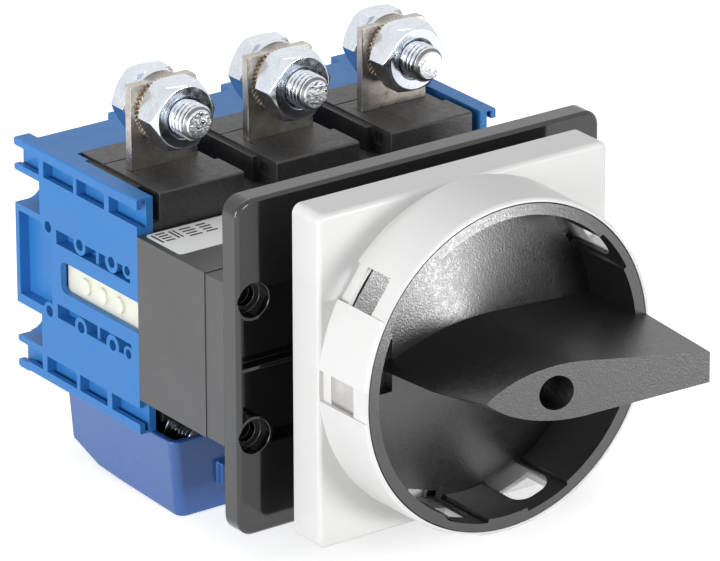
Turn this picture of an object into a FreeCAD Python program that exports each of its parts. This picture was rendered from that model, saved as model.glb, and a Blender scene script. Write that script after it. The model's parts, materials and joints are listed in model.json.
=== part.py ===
import FreeCAD
import Part
import math
import os
from FreeCAD import Vector

# Three-pole rotary cam switch for mounting behind a door panel, lengths in millimetres.
# X points right seen from the front, Y points to the rear, Z points up.
# Places along Y are counted from the front face of the mounting frame. At the end every piece is
# moved forwards, so that the origin lies on the handle's axis in the seats of the panel screws.
# The handle stands in its off position, with its nose at nine o'clock.

# Fits and clearances
sliding_gap = 0.4
seat_gap = 0.1
shaft_gap = 0.05
turning_gap = 0.3
past_face = 1.0
screw_slot_depth = 1.0

# Poles, and the width of everything behind the panel that follows from them
pole_pitch = 35.5
pole_centres = [-pole_pitch, 0.0, pole_pitch]
outer_pole_reach = 13.9
side_wall = 6.0
bay_half_width = pole_pitch + outer_pole_reach
housing_half_width = bay_half_width + side_wall
box_half_width = housing_half_width + seat_gap
frame_half_width = housing_half_width

# Shaft, cam and detent, one behind the other from the mounting frame to the rear
frame_thickness = 6.1
box_cover_depth = 7.7
shaft_size = 8.0
shaft_tapped_radius = 2.1
shaft_tapped_depth = 14.0
bush_radius = 9.0
bush_collar = 3.0
hub_end_gap = 2.0
detent_thickness = 3.0
detent_flat = 11.0
detent_corner_radius = 13.0
detent_spring_thickness = 0.8
detent_spring_half_length = 26.0
detent_post_inner = 22.0
detent_post_width = 4.5
cam_radius = 11.0
cam_length = 21.0
groove_floor = 8.5
groove_width = 3.7
groove_overrun = 12.0
pin_radius = 1.5
pin_from_cam_end = 3.0
pin_tip_gap = 0.3
stop_reach = 17.0
stop_half_width = 2.5
stop_gap = 0.3
stop_from_cam_front = 0.5
stop_thickness = 3.0
stop_width = 4.2
stop_root = 2.0
cam_room = 1.5
box_front = frame_thickness + seat_gap
box_seam = box_front + box_cover_depth
bush_rear = box_seam + turning_gap
detent_front = bush_rear + sliding_gap
detent_rear = detent_front + detent_thickness
cam_front = detent_rear + sliding_gap
cam_rear = cam_front + cam_length
shaft_rear = cam_rear
pin_place = cam_rear - pin_from_cam_end
stop_front = cam_front + stop_from_cam_front
stop_rear = stop_front + stop_thickness

# Contact housing, a U-shaped moulding with rails on both sides
housing_beyond_cam = 4.3
housing_half_height = 31.5
bay_depth = 35.6
bay_step = 1.2
bay_step_depth = 5.4
housing_edge = 0.6
rear_wall = 15.3
foot_depth = 4.6
foot_half_height = 13.6
housing_front = cam_rear + housing_beyond_cam
bay_rear = housing_front + bay_depth
housing_rear = bay_rear + rear_wall
foot_rear = housing_rear + foot_depth
window_wall = 1.7
window_half_height = 4.2
window_corner = 2.0
window_rear = bay_rear - 0.7
rail_depth = 2.9
rail_inner = housing_half_width - rail_depth
rail_low = housing_half_height - 7.1
rail_high = housing_half_height - 2.7
rail_lip = 1.5
rail_undercut_low = rail_low - 0.6
rail_undercut_high = rail_high + 2.1
rail_pockets = [(-1.0, 12.5), (14.6, 27.0), (28.5, 42.1), (44.2, 56.5)]
rail_lower_edge = rail_low - 1.8
rail_end_step = 0.5
rail_stem = 1.4
rail_end_round = 0.8
notch_front = housing_rear - 6.7
notch_inner = housing_half_width - 8.2
slot_low = 8.2
slot_high = 12.0
slot_front = 3.4
slot_rear = 36.7
slot_depth = 3.5
boss_height = 11.2
slot_bosses = [(26.1, 2.7, 1.5), (11.8, 2.8, 1.45), (4.7, 2.1, 1.25)]
slot_rib = 18.9
slot_rib_width = 1.2
slot_rib_drop = 0.6
hole_floor = 0.6
corner_boss = (40.5, 11.5, 2.5, 1.5)
side_pocket = (39.2, 53.9, -11.0, 11.8)
side_pocket_depth = 3.0
tab_offset = 8.1
tab_pitch = pole_pitch - 0.5
tab_width = 9.0
tab_thickness = 3.0
tab_step = 0.3
rear_margin = 14.8
rear_rib_pitch = 2.0 * (housing_half_width - rear_margin) / 7.0
rear_rib_width = 2.0
rear_pocket_depth = 7.0
foot_pocket_half_height = 7.5
upper_pocket_lift = 2.4
upper_pocket_drop = 0.6

# Terminals and their fasteners
terminal_front = housing_front + 16.8
terminal_thickness = 2.5
terminal_width = 20.0
terminal_inner_end = 9.5
line_bolt_height = housing_half_height + 15.3
line_flag_end = line_bolt_height + 7.3
load_bolt_height = housing_half_height + 7.7
load_flag_end = load_bolt_height + 9.3
flag_corner = 2.0
bolt_radius = 5.0
bolt_end_radius = 4.8
bolt_hole_radius = 5.5
bolt_beyond_nut = 6.1
bolt_point = 1.2
nut_across_flats = 16.9
nut_height = 8.4
head_height = 6.4
hexagon_chamfer = 0.25
chamfer_drop = 0.85
lock_washer_thickness = 1.3
lock_washer_radius = 8.7
lock_washer_tooth = 0.6
lock_washer_teeth = 18
flat_washer_thickness = 1.6
flat_washer_radius = 8.8
washer_bore_radius = 5.25
thread_gap = 0.05

# Black pole caps
cap_front = housing_front + 0.4
cap_rear = bay_rear - 0.2
cap_top = housing_half_height + 0.2
cap_skin = 1.3
cap_half_width = 12.75
cap_base_half_width = pole_pitch / 2.0 - 0.15
cap_ledge = cap_top - 7.7
cap_floor = 8.0
cap_wall = 1.5
cap_strip_width = 1.55
cap_strip_front = cap_front + 8.6
cap_strip_drop = 0.9
cap_recess = (11.2, 20.2, 2.4, 0.8)
cap_score = cap_front + 24.55
score_width = 0.4
cap_edge = 0.8
cap_side_pocket = (3.8, 7.3, 4.7, 1.7, 1.0)
cap_slit = (3.6, 0.3, 1.0)
chamber_half_width = 8.0
chamber_top = 18.5

# Contacts
travel = 6.0
contact_gap = 0.05
tip_thickness = 1.5
tip_width = 7.0
tip_low = 10.0
tip_high = 17.0
bridge_thickness = 3.0
bridge_width = 10.0
bridge_half_height = 18.0
bridge_nose = 2.0
spring_length = 10.0
spring_radius = 3.6
spring_wire = 0.6
spring_turns = 4
spring_sides = 8
arc_plate_thickness = 1.0
arc_plate_pitch = 2.4
arc_plate_count = 5
arc_plate_front = terminal_front + 4.9
arc_plate_notch = 4.0

# Sliding contact carrier
carrier_half_height = 7.5
carrier_front = housing_front + 2.0
carrier_shoulder = bay_rear - 0.9
carrier_end_wall = 2.5
carrier_rear_half_width = bay_half_width + 0.2
carrier_nubs = [11.2, 18.7, 26.2]
nub_drop = 0.6
nub_radius = 2.2
nub_height = 0.9
sleeve_outer = 14.5
sleeve_front = cam_rear - 7.5
sleeve_rear = cam_rear + 4.0

# Mechanism box
box_half_height = 21.9
box_wall = 1.9
box_cover_wall = 2.5
cover_inset = 0.2
post_radius = 5.0
post_length = 10.1
post_floor = 2.0
post_root = 0.5
bolt_place_x = frame_half_width - 4.9
bolt_place_z = box_half_height - 3.9

# Escutcheon, plate and ring in one
panel_gap = 7.2
plate_half_size = 44.0
plate_thickness = 10.8
plate_corner = 2.5
plate_edge = 1.2
plate_front = -panel_gap - plate_thickness
ring_height = 18.5
ring_front = plate_front - ring_height
ring_base_radius = plate_half_size - 0.05
ring_front_radius = ring_base_radius - 0.35
ring_bore = ring_base_radius - 2.45
ring_seat_bore = ring_front_radius - 1.05
ring_seat_depth = 3.2
ring_floor_height = 5.5
ring_floor = plate_front + ring_floor_height
window_front = ring_front + 5.5
window_widths = {36.0: 10.2, 144.0: 10.2, 180.0: 8.2, 252.0: 10.2, 288.0: 10.2}
window_strip_depth = 0.6
ledge_height = 3.2
ledge_thickness = 1.1
strip_thickness = 1.0
strip_front = window_front + 0.6
strip_from = 166.0
strip_to = 185.3
locking_ring_inner = 30.0
locking_ring_thickness = 1.2
locking_ring_notch = 8.0
platform_screw_head = 3.5
platform_screw_head_height = 2.0
platform_screw_radius = 1.75
platform_screw_hole = 2.2
platform_pilot_radius = 1.8
platform_screw_slot = 0.8
platform_screw_end = 2.5

# Mounting frame
frame_half_height = plate_half_size + 0.4
frame_corner = 4.5
frame_bead = 0.8
frame_recess_depth = 3.5
frame_recess_outer = frame_half_width - 1.4
frame_recess_inner = 31.0
frame_recess_half_height = box_half_height - 1.1
frame_rib = 1.0
frame_hole_radius = 2.7
counterbore_radius = 4.5
counterbore_depth = 4.0
counterbore_ring = 0.8
platform_radius = 29.0
platform_bolt_place = 17.5
pilot_floor = 1.5

# Handle
rim_radius = ring_seat_bore - 0.35
rim_front = ring_front + seat_gap
rim_thickness = 2.4
bowl_outer = ring_bore - sliding_gap
bowl_inner = bowl_outer - 1.8
bowl_floor = plate_front
bowl_floor_thickness = 2.5
grip_slope = 0.232
grip_face_at_axis = ring_front - 18.9
grip_face_nose = -18.0
grip_face_curve = [(-13.5, 3.3), (-6.8, 6.0), (3.0, 7.4), (9.8, 7.0)]
grip_face_tail = (rim_radius - 2.2, 4.0)
grip_waist = ring_front - 0.5
grip_waist_nose = -24.0
grip_waist_curve = [(-17.0, 3.2), (-7.5, 5.9), (3.0, 7.1), (11.0, 6.8)]
grip_waist_tail = (rim_radius - 0.2, 4.3)
grip_base_nose = -26.0
grip_base_curve = [(-18.0, 2.8), (-8.0, 5.5), (3.0, 6.8), (12.0, 6.6)]
grip_base_tail = (rim_radius - 0.2, 4.6)
hub_radius = 9.0
hub_rear = -panel_gap + 4.7
handle_slots = [36.0, 144.0, 252.0, 288.0]
handle_slot_width = 11.0
handle_slot_front = window_front - 0.5
handle_slot_corner = 4.0
handle_slot_reach = 3.0
relief_width = 12.8
relief_radius = bowl_inner + 1.0
floor_cut_radius = bowl_outer - 3.2
floor_slot_inner = 22.0
floor_slot_outer = bowl_inner - 0.8
floor_slot_half_height = 7.0
screw_seat = ring_front + 0.5
shaft_front = screw_seat + 3.0
screw_hole_radius = 4.5
screw_passage_radius = 2.5
screw_head_radius = 3.9
screw_head_height = 2.4
screw_slot_width = 1.0
screw_shank_radius = 2.0
screw_length = 15.0
screw_washer_radius = 4.2
screw_washer_bore = 2.1
screw_washer_thickness = 0.8

# Terminal cover over the load side
cover_front = housing_front - 9.3
cover_rear = bay_rear + 2.5
cover_height = 20.8
cover_top = -housing_half_height - seat_gap
cover_bottom = cover_top - cover_height
cover_top_half_width = housing_half_width - 3.4
cover_bottom_half_width = cover_top_half_width - 1.9
cover_kink = (25.9, 0.9)
cover_chamfer_front = (36.4, 1.6)
cover_chamfer_rear = 5.7
cover_wall = 1.8
cover_edge = 2.5
cover_tab_x = -pole_pitch - 3.1
cover_tab_width = 5.0
cover_tab_reach = 2.2
cover_tab_root = 0.5
cover_tab_slant = 1.6
cover_tab_low = 15.0
cover_tab_high = 8.2
entry_half_width = 9.5
entry_front = 7.0
entry_rear = 23.5

# Derived places
box_rear = housing_front - seat_gap
terminal_rear = terminal_front + terminal_thickness
nut_rear = terminal_front - lock_washer_thickness
nut_front = nut_rear - nut_height
bolt_front = nut_front - bolt_beyond_nut
head_front = terminal_rear + flat_washer_thickness
bridge_tip_front = terminal_rear + tip_thickness + contact_gap + travel
bridge_front = bridge_tip_front + tip_thickness
bridge_rear = bridge_front + bridge_thickness
chamber_rear = cap_rear - cap_wall
load_cap_top = load_bolt_height - flat_washer_radius - 2.0 * seat_gap
plate_top = load_cap_top - cap_skin
carrier_half_width = housing_half_width - window_wall - sliding_gap
carrier_pocket_rear = bridge_rear + spring_length
carrier_rear = carrier_pocket_rear + carrier_end_wall
carrier_bay_half_height = carrier_half_height + sliding_gap
carrier_bore = cam_radius + turning_gap
front_bay_half_width = bay_half_width + bay_step
bay_step_place = bay_rear - bay_step_depth
ledge_front = plate_front - ledge_height
lead = travel * 4.0


def box(x0, x1, y0, y1, z0, z1):
    """Block between two corners."""
    return Part.makeBox(x1 - x0, y1 - y0, z1 - z0, Vector(x0, y0, z0))


def rod(radius, y0, y1, x=0.0, z=0.0):
    """Cylinder along Y."""
    return Part.makeCylinder(radius, y1 - y0, Vector(x, y0, z), Vector(0, 1, 0))


def cross_rod(radius, x0, x1, y, z):
    """Cylinder along X."""
    return Part.makeCylinder(radius, x1 - x0, Vector(x0, y, z), Vector(1, 0, 0))


def cone(radius0, radius1, y0, y1):
    """Cone frustum along Y about the handle's axis."""
    return Part.makeCone(radius0, radius1, y1 - y0, Vector(0, y0, 0), Vector(0, 1, 0))


def fuse(shapes):
    """Union of several solids, with the seams between flush faces removed."""
    return shapes[0].fuse(shapes[1:]).removeSplitter()


def both_sides(shape):
    """A shape and its mirror image across the YZ plane."""
    return [shape, shape.mirror(Vector(0, 0, 0), Vector(1, 0, 0))]


def flipped(shape):
    """Mirror image across the XY plane."""
    return shape.mirror(Vector(0, 0, 0), Vector(0, 0, 1))


def four_corners(shape):
    """A shape in the upper right quarter, repeated in all four."""
    upper = both_sides(shape)
    return upper + [flipped(one) for one in upper]


def turned(shape, degrees):
    """A shape turned about the handle's axis, from the +X side towards the +Z side."""
    copy = shape.copy()
    copy.rotate(Vector(0, 0, 0), Vector(0, 1, 0), -degrees)
    return copy


def prism(points, direction):
    """Closed outline pushed along a direction."""
    outline = Part.makePolygon(points + [points[0]])
    return Part.Face(outline).extrude(direction)


def rounded(shape, radius, along):
    """Shape with its straight edges along one axis rounded."""
    edges = []
    for edge in shape.Edges:
        start, end = edge.Vertexes[0].Point, edge.Vertexes[-1].Point
        run = end - start
        if run.Length > 0 and abs(abs(run.dot(along)) - run.Length) < 1e-6:
            edges.append(edge)
    return shape.makeFillet(radius, edges)


def rear_rounded(shape, radius):
    """Block with the two rear edges that run along X rounded."""
    rear = shape.BoundBox.YMax
    edges = []
    for edge in shape.Edges:
        start, end = edge.Vertexes[0].Point, edge.Vertexes[-1].Point
        if min(start.y, end.y) > rear - 1e-6 and abs(start.x - end.x) > 1e-6:
            edges.append(edge)
    return shape.makeFillet(radius, edges)


def hexagon(across_flats, height, y0, chamfered_ends):
    """Hexagon along Y with a flat on top, its ends chamfered by cones."""
    radius = across_flats / math.sqrt(3.0)
    points = []
    for corner in range(6):
        angle = math.radians(60.0 * corner)
        points.append(Vector(radius * math.cos(angle), y0, radius * math.sin(angle)))
    body = prism(points, Vector(0, height, 0))
    edge = across_flats / 2.0 - hexagon_chamfer
    wide = edge + height / chamfer_drop
    if "front" in chamfered_ends:
        body = body.common(cone(edge, wide, y0, y0 + height))
    if "rear" in chamfered_ends:
        body = body.common(cone(wide, edge, y0, y0 + height))
    return body


def driver_slot(head_radius, head_front, width):
    """Straight slot across a screw head on the handle's axis."""
    half = width / 2.0
    reach = head_radius + seat_gap
    return box(-reach, reach, head_front - past_face, head_front + screw_slot_depth, -half, half)


def rail_pocket(y0, y1):
    """Room inside one stretch of the upper right rail."""
    start, end = housing_front + y0, housing_front + y1
    floor = rail_inner + seat_gap
    mouth = box(floor, housing_half_width + past_face, start, end, rail_low, rail_high)
    undercut = box(
        floor, housing_half_width - rail_lip, start, end,
        rail_undercut_low, rail_undercut_high
    )
    return mouth.fuse(undercut)


def rail_end():
    """Upper right rail beyond the rear face, open to the side."""
    inner = rail_inner - rail_stem
    flange = box(
        inner, housing_half_width, housing_rear, foot_rear, rail_high + rail_end_step, housing_half_height
    )
    lip = box(inner, housing_half_width, housing_rear, foot_rear, rail_lower_edge, rail_low)
    stem = box(
        inner, rail_inner + seat_gap, housing_rear, foot_rear, rail_low - rail_end_round,
        rail_high + rail_end_step + rail_end_round
    )
    return rear_rounded(flange, rail_end_round).fuse([rear_rounded(lip, rail_end_round), stem])


def rear_notch():
    """Groove behind the upper right side wall, with a round bottom on its inner side."""
    rear = foot_rear + past_face
    radius = (rail_lower_edge - foot_half_height) / 2.0
    middle = (rail_lower_edge + foot_half_height) / 2.0
    centre = notch_inner + radius
    channel = box(
        centre, housing_half_width + past_face, notch_front, rear, foot_half_height, rail_lower_edge
    )
    return channel.fuse(rod(radius, notch_front, rear, centre, middle))


def side_slot():
    """Upper right slot pocket, less the bosses and the rib that stand in it."""
    floor = housing_half_width - slot_depth
    slot = box(
        floor, housing_half_width + past_face, housing_front + slot_front, housing_front + slot_rear,
        slot_low, slot_high
    )
    standing = []
    for y, outer, bore in slot_bosses:
        standing.append(cross_rod(outer, floor, housing_half_width, housing_front + y, boss_height))
    rib = housing_front + slot_rib
    half_rib = slot_rib_width / 2.0
    standing.append(box(
        floor, housing_half_width - slot_rib_drop, rib - half_rib, rib + half_rib, slot_low, slot_high
    ))
    return slot.cut(standing)


def side_holes():
    """Holes of the upper right bosses."""
    holes = []
    start, end = housing_half_width - slot_depth - hole_floor, housing_half_width + past_face
    for y, outer, bore in slot_bosses:
        holes.append(cross_rod(bore, start, end, housing_front + y, boss_height))
    y, z, outer, bore = corner_boss
    holes.append(cross_rod(bore, start, end, housing_front + y, z))
    return holes


def side_recess():
    """Pocket in the right side wall, less the two bosses at its front corners."""
    y0, y1, z0, z1 = side_pocket
    floor = housing_half_width - side_pocket_depth
    pocket = box(floor, housing_half_width + past_face, housing_front + y0, housing_front + y1, z0, z1)
    y, z, outer, bore = corner_boss
    bosses = [cross_rod(outer, floor, housing_half_width, housing_front + y, place) for place in (z, -z)]
    return pocket.cut(bosses)


def rear_pockets():
    """Rows of narrow pockets that leave ribs in the rear face."""
    pockets = []
    half = (rear_rib_pitch - rear_rib_width) / 2.0
    for column in range(-3, 4):
        x = column * rear_rib_pitch
        y0 = foot_rear - rear_pocket_depth
        high = foot_pocket_half_height
        pockets.append(box(x - half, x + half, y0, foot_rear + past_face, -high, high))
        upper = box(
            x - half, x + half, housing_rear - rear_pocket_depth, foot_rear + past_face,
            foot_half_height + upper_pocket_lift, housing_half_height - tab_thickness - upper_pocket_drop
        )
        pockets += [upper, flipped(upper)]
    return pockets


def contact_housing():
    """Blue housing that holds the caps, the terminals and the sliding carrier."""
    width = housing_half_width
    body = box(-width, width, housing_front, housing_rear, -housing_half_height, housing_half_height)
    body = rounded(body, housing_edge, Vector(0, 1, 0))
    foot = box(-width, width, housing_rear, foot_rear, -rail_lower_edge, rail_lower_edge)
    tabs = []
    for step in (-1, 0, 1):
        x = tab_offset + step * tab_pitch
        tab = box(
            x, x + tab_width, housing_rear, foot_rear - tab_step,
            housing_half_height - tab_thickness, housing_half_height
        )
        tabs += [tab, flipped(tab)]
    body = fuse([body, foot] + four_corners(rail_end()) + tabs)
    bay_high = housing_half_height + past_face
    bay = box(-bay_half_width, bay_half_width, housing_front - past_face, bay_rear, -bay_high, bay_high)
    bay_front = box(
        -front_bay_half_width, front_bay_half_width, housing_front - past_face, bay_step_place,
        -bay_high, bay_high
    )
    carrier_room = box(
        -width + window_wall, width - window_wall, housing_front - past_face, bay_rear + sliding_gap,
        -carrier_bay_half_height, carrier_bay_half_height
    )
    rear_half_width = carrier_rear_half_width + sliding_gap
    rear_room = box(
        -rear_half_width, rear_half_width, bay_rear - past_face, carrier_rear + 2.0 * sliding_gap,
        -carrier_bay_half_height, carrier_bay_half_height
    )
    window = box(
        0, width + past_face, housing_front - 2.0 * window_corner - past_face, window_rear,
        -window_half_height, window_half_height
    )
    window = rounded(window, window_corner, Vector(1, 0, 0))
    quarter_cuts = [rear_notch(), side_slot()] + side_holes()
    for y0, y1 in rail_pockets:
        quarter_cuts.append(rail_pocket(y0, y1))
    cuts = [bay, bay_front, carrier_room, rear_room] + both_sides(window) + both_sides(side_recess())
    for quarter_cut in quarter_cuts:
        cuts += four_corners(quarter_cut)
    return body.cut(cuts + rear_pockets())


def pole_cap(centre, height):
    """Black cap over one pole's line contact, with its arc chamber and terminal slot."""
    side = centre - cap_half_width
    top = box(side, centre + cap_half_width, cap_front, cap_rear, cap_ledge - past_face, height)
    edges = [e for e in top.Edges if all(v.Z > height - seat_gap and v.Y < cap_front + seat_gap
                                         for v in e.Vertexes)]
    parts = [top.makeFillet(cap_edge, edges)]
    for limit, rear in ((bay_half_width, cap_rear), (front_bay_half_width, bay_step_place - seat_gap)):
        left = max(centre - cap_base_half_width, seat_gap - limit)
        right = min(centre + cap_base_half_width, limit - seat_gap)
        parts.append(box(left, right, cap_front, rear, cap_floor, cap_ledge))
        strip_left = side - cap_strip_width
        if strip_left < seat_gap - bay_half_width:
            strip_left = seat_gap - limit
        parts.append(box(strip_left, centre, cap_strip_front, rear, cap_ledge - past_face,
                         height - cap_strip_drop))
    body = fuse(parts)
    slot_half = terminal_width / 2.0 + seat_gap
    slot = box(
        centre - slot_half, centre + slot_half, terminal_front - seat_gap, terminal_rear + seat_gap,
        cap_floor - past_face, height + past_face
    )
    half = chamber_half_width
    chamber = box(
        centre - half, centre + half, terminal_rear, chamber_rear, cap_floor - past_face, chamber_top
    )
    plates = box(
        centre - half, centre + half, arc_plate_front - arc_plate_thickness, chamber_rear,
        chamber_top - past_face, plate_top
    )
    core = box(
        centre - half, centre + half, cap_front + cap_wall, terminal_front - 2.0 * cap_wall,
        cap_floor - past_face, chamber_top
    )
    y0, y1, width, depth = cap_recess
    recess = box(
        centre + cap_half_width - width, centre + cap_half_width + past_face,
        cap_front + y0, cap_front + y1,
        height - depth, height + past_face
    )
    score = box(
        side - past_face, centre + cap_half_width + past_face, cap_score, cap_score + score_width,
        height - score_width, height + past_face
    )
    y0, y1, low, high, depth = cap_side_pocket
    side_pocket_cut = box(
        side - past_face, side + depth, cap_front + y0, cap_front + y1, height - low, height - high
    )
    length, width, depth = cap_slit
    slit = box(
        centre - slot_half, centre - slot_half + width, terminal_front - length, terminal_front,
        height - depth, height + past_face
    )
    return body.cut([slot, chamber, plates, core, recess, score, side_pocket_cut, slit])


def terminal(centre, flag_end, bolt_height):
    """Tinned copper blade, a flag outside and a contact carrier inside the cap."""
    half = terminal_width / 2.0
    blade = box(
        centre - half, centre + half, terminal_front, terminal_rear, terminal_inner_end, flag_end
    )
    blade = blade.cut(rod(bolt_hole_radius, terminal_front - past_face, terminal_rear + past_face, centre,
                          bolt_height))
    corners = []
    for edge in blade.Edges:
        middle = edge.CenterOfMass
        upright = abs(edge.Vertexes[0].Y - edge.Vertexes[-1].Y) > terminal_thickness / 2.0
        if upright and middle.z > flag_end - 1e-6 and middle.x > centre:
            corners.append(edge)
    return blade.makeFillet(flag_corner, corners)


def placed(shape, centre, height):
    """Shape moved from the axis to one terminal bolt."""
    copy = shape.copy()
    copy.translate(Vector(centre, 0, height))
    return copy


def bolt():
    """Hexagon bolt pointing forwards, with a chamfered end."""
    head = hexagon(nut_across_flats, head_height, head_front, ["rear"])
    shank = rod(bolt_radius, nut_front, head_front + past_face)
    end = rod(bolt_end_radius, bolt_front + bolt_point, nut_front + past_face)
    point = cone(bolt_end_radius - bolt_point, bolt_end_radius, bolt_front, bolt_front + bolt_point)
    return fuse([head, shank, end, point])


def nut():
    """Hexagon nut chamfered at both ends."""
    body = hexagon(nut_across_flats, nut_height, nut_front, ["front", "rear"])
    return body.cut(rod(bolt_radius + thread_gap, nut_front - past_face, nut_rear + past_face))


def lock_washer():
    """Toothed washer between the nut and the flag."""
    points = []
    for step in range(2 * lock_washer_teeth):
        angle = math.pi * step / lock_washer_teeth
        radius = lock_washer_radius if step % 2 == 0 else lock_washer_radius - lock_washer_tooth
        points.append(Vector(radius * math.cos(angle), nut_rear, radius * math.sin(angle)))
    body = prism(points, Vector(0, lock_washer_thickness, 0))
    return body.cut(rod(washer_bore_radius, nut_rear - past_face, terminal_front + past_face))


def flat_washer():
    """Plain washer under the bolt's head."""
    body = rod(flat_washer_radius, terminal_rear, head_front)
    return body.cut(rod(washer_bore_radius, terminal_rear - past_face, head_front + past_face))


def for_each_pole(shape, height):
    """One copy at each pole's terminal bolt, as a group."""
    return Part.makeCompound([placed(shape, centre, height) for centre in pole_centres])


def contact_tips(y0):
    """Silver tips above and below the middle, with their front face at y0."""
    tips = []
    half = tip_width / 2.0
    for centre in pole_centres:
        tip = box(centre - half, centre + half, y0, y0 + tip_thickness, tip_low, tip_high)
        tips += [tip, flipped(tip)]
    return tips


def contact_bridge(centre):
    """Copper bar that joins the two fixed contacts of a pole, with a nose for its spring."""
    half = bridge_width / 2.0
    high = bridge_half_height
    bar = box(centre - half, centre + half, bridge_front, bridge_rear, -high, high)
    nose_radius = spring_radius - 2.0 * spring_wire - seat_gap
    nose = rod(nose_radius, bridge_rear - past_face, bridge_rear + bridge_nose, centre)
    return fuse([bar, nose])


def contact_spring(centre):
    """Compression spring behind a contact bridge, its wire eight-sided."""
    coil_radius = spring_radius - spring_wire
    room = spring_length - 2.0 * (spring_wire + seat_gap / 2.0)
    helix = Part.makeHelix(room / spring_turns, room, coil_radius)
    points = []
    for side in range(spring_sides + 1):
        angle = 2.0 * math.pi * side / spring_sides
        points.append(Vector(coil_radius + spring_wire * math.cos(angle), 0, spring_wire * math.sin(angle)))
    section = Part.makePolygon(points)
    coil = Part.Wire(helix).makePipeShell([section], True, True)
    coil.rotate(Vector(0, 0, 0), Vector(1, 0, 0), -90)
    coil.translate(Vector(centre, bridge_rear + spring_wire + seat_gap / 2.0, 0))
    return coil


def arc_plates():
    """Notched steel plates stacked in every arc chamber."""
    half = chamber_half_width - 2.0 * seat_gap
    plates = []
    for centre in pole_centres:
        for index in range(arc_plate_count):
            y0 = arc_plate_front + index * arc_plate_pitch
            low = chamber_top + seat_gap
            high = plate_top - 2.0 * seat_gap
            outline = [
                Vector(centre - half, y0, low),
                Vector(centre - arc_plate_notch / 2.0, y0, low),
                Vector(centre, y0, low + arc_plate_notch),
                Vector(centre + arc_plate_notch / 2.0, y0, low),
                Vector(centre + half, y0, low),
                Vector(centre + half, y0, high),
                Vector(centre - half, y0, high),
            ]
            plate = prism(outline, Vector(0, arc_plate_thickness, 0))
            plates += [plate, flipped(plate)]
    return Part.makeCompound(plates)


def contact_carrier():
    """Off-white slide that carries the bridges, with a sleeve around the cam."""
    high = carrier_half_height
    wide = box(-carrier_half_width, carrier_half_width, carrier_front, carrier_shoulder, -high, high)
    narrow = box(
        -carrier_rear_half_width, carrier_rear_half_width, carrier_shoulder - past_face, carrier_rear,
        -high, high
    )
    tongue = box(-sleeve_outer, sleeve_outer, sleeve_rear - past_face, carrier_front + past_face, -high, high)
    sleeve = rod(sleeve_outer, sleeve_front, sleeve_rear)
    nubs = []
    for y in carrier_nubs:
        start, tip = carrier_half_width - past_face, carrier_half_width + nub_height
        nubs += both_sides(cross_rod(nub_radius, start, tip, housing_front + y, -nub_drop))
    body = fuse([wide, narrow, tongue, sleeve] + nubs)
    bore = rod(carrier_bore, sleeve_front - past_face, cam_rear + travel + turning_gap)
    cuts = [bore]
    pocket_half = bridge_width / 2.0 + sliding_gap
    for centre in pole_centres:
        cuts.append(box(
            centre - pocket_half, centre + pocket_half, bridge_front - contact_gap, carrier_pocket_rear,
            -high - past_face, high + past_face
        ))
    cuts += both_sides(cross_rod(pin_radius, 0, sleeve_outer + past_face, pin_place, 0))
    return body.cut(cuts)


def follower_pins():
    """Steel pins from the sleeve into the cam's grooves."""
    tip = groove_floor + pin_tip_gap
    return Part.makeCompound(both_sides(cross_rod(pin_radius, tip, sleeve_outer, pin_place, 0)))


def groove_cutter():
    """Screw-shaped bar that cuts one groove, for a quarter turn and a little more."""
    swing = 90.0 + 2.0 * groove_overrun
    height = lead * swing / 360.0
    middle_radius = (groove_floor + cam_radius + past_face) / 2.0
    helix = Part.makeHelix(lead, height, middle_radius)
    half = groove_width / 2.0
    outer = cam_radius + past_face
    section = Part.makePolygon([
        Vector(groove_floor, 0, -half),
        Vector(outer, 0, -half),
        Vector(outer, 0, half),
        Vector(groove_floor, 0, half),
        Vector(groove_floor, 0, -half),
    ])
    bar = Part.Wire(helix).makePipeShell([section], True, True)
    bar.rotate(Vector(0, 0, 0), Vector(1, 0, 0), -90)
    start_angle = -90.0 - groove_overrun
    bar.translate(Vector(0, pin_place + lead * start_angle / 360.0, 0))
    bar.rotate(Vector(0, 0, 0), Vector(0, 1, 0), start_angle)
    return bar


def barrel_cam():
    """Drum with two screw grooves and a stop lug on its front end."""
    drum = rod(cam_radius, cam_front, cam_rear)
    lug = box(-stop_half_width, stop_half_width, stop_front, stop_rear, cam_radius - stop_root, stop_reach)
    body = fuse([drum, lug])
    half = shaft_size / 2.0 + shaft_gap
    square = box(-half, half, cam_front - past_face, cam_rear + past_face, -half, half)
    return body.cut([square, groove_cutter(), turned(groove_cutter(), 180.0)])


def drive_shaft():
    """Square steel shaft from the handle to the cam, tapped at its front for the handle screw."""
    half = shaft_size / 2.0
    bar = box(-half, half, shaft_front, shaft_rear, -half, half)
    return bar.cut(rod(shaft_tapped_radius, shaft_front - past_face, shaft_front + shaft_tapped_depth))


def detent_disc():
    """Four-flat disc that the detent springs press on."""
    disc = box(-detent_flat, detent_flat, detent_front, detent_rear, -detent_flat, detent_flat)
    disc = disc.common(rod(detent_corner_radius, detent_front, detent_rear))
    half = shaft_size / 2.0 + shaft_gap
    return disc.cut(box(-half, half, detent_front - past_face, detent_rear + past_face, -half, half))


def detent_springs():
    """Flat springs above and below the detent disc."""
    low = detent_flat + seat_gap
    strip = box(
        -detent_spring_half_length, detent_spring_half_length, detent_front + seat_gap, detent_rear,
        low, low + detent_spring_thickness
    )
    return Part.makeCompound([strip, flipped(strip)])


def shaft_bush():
    """Round bush on the square shaft that turns in the frame's bore."""
    body = rod(bush_radius, hub_rear + hub_end_gap, bush_rear)
    half = shaft_size / 2.0 + shaft_gap
    return body.cut(box(-half, half, hub_rear, bush_rear + past_face, -half, half))


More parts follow.
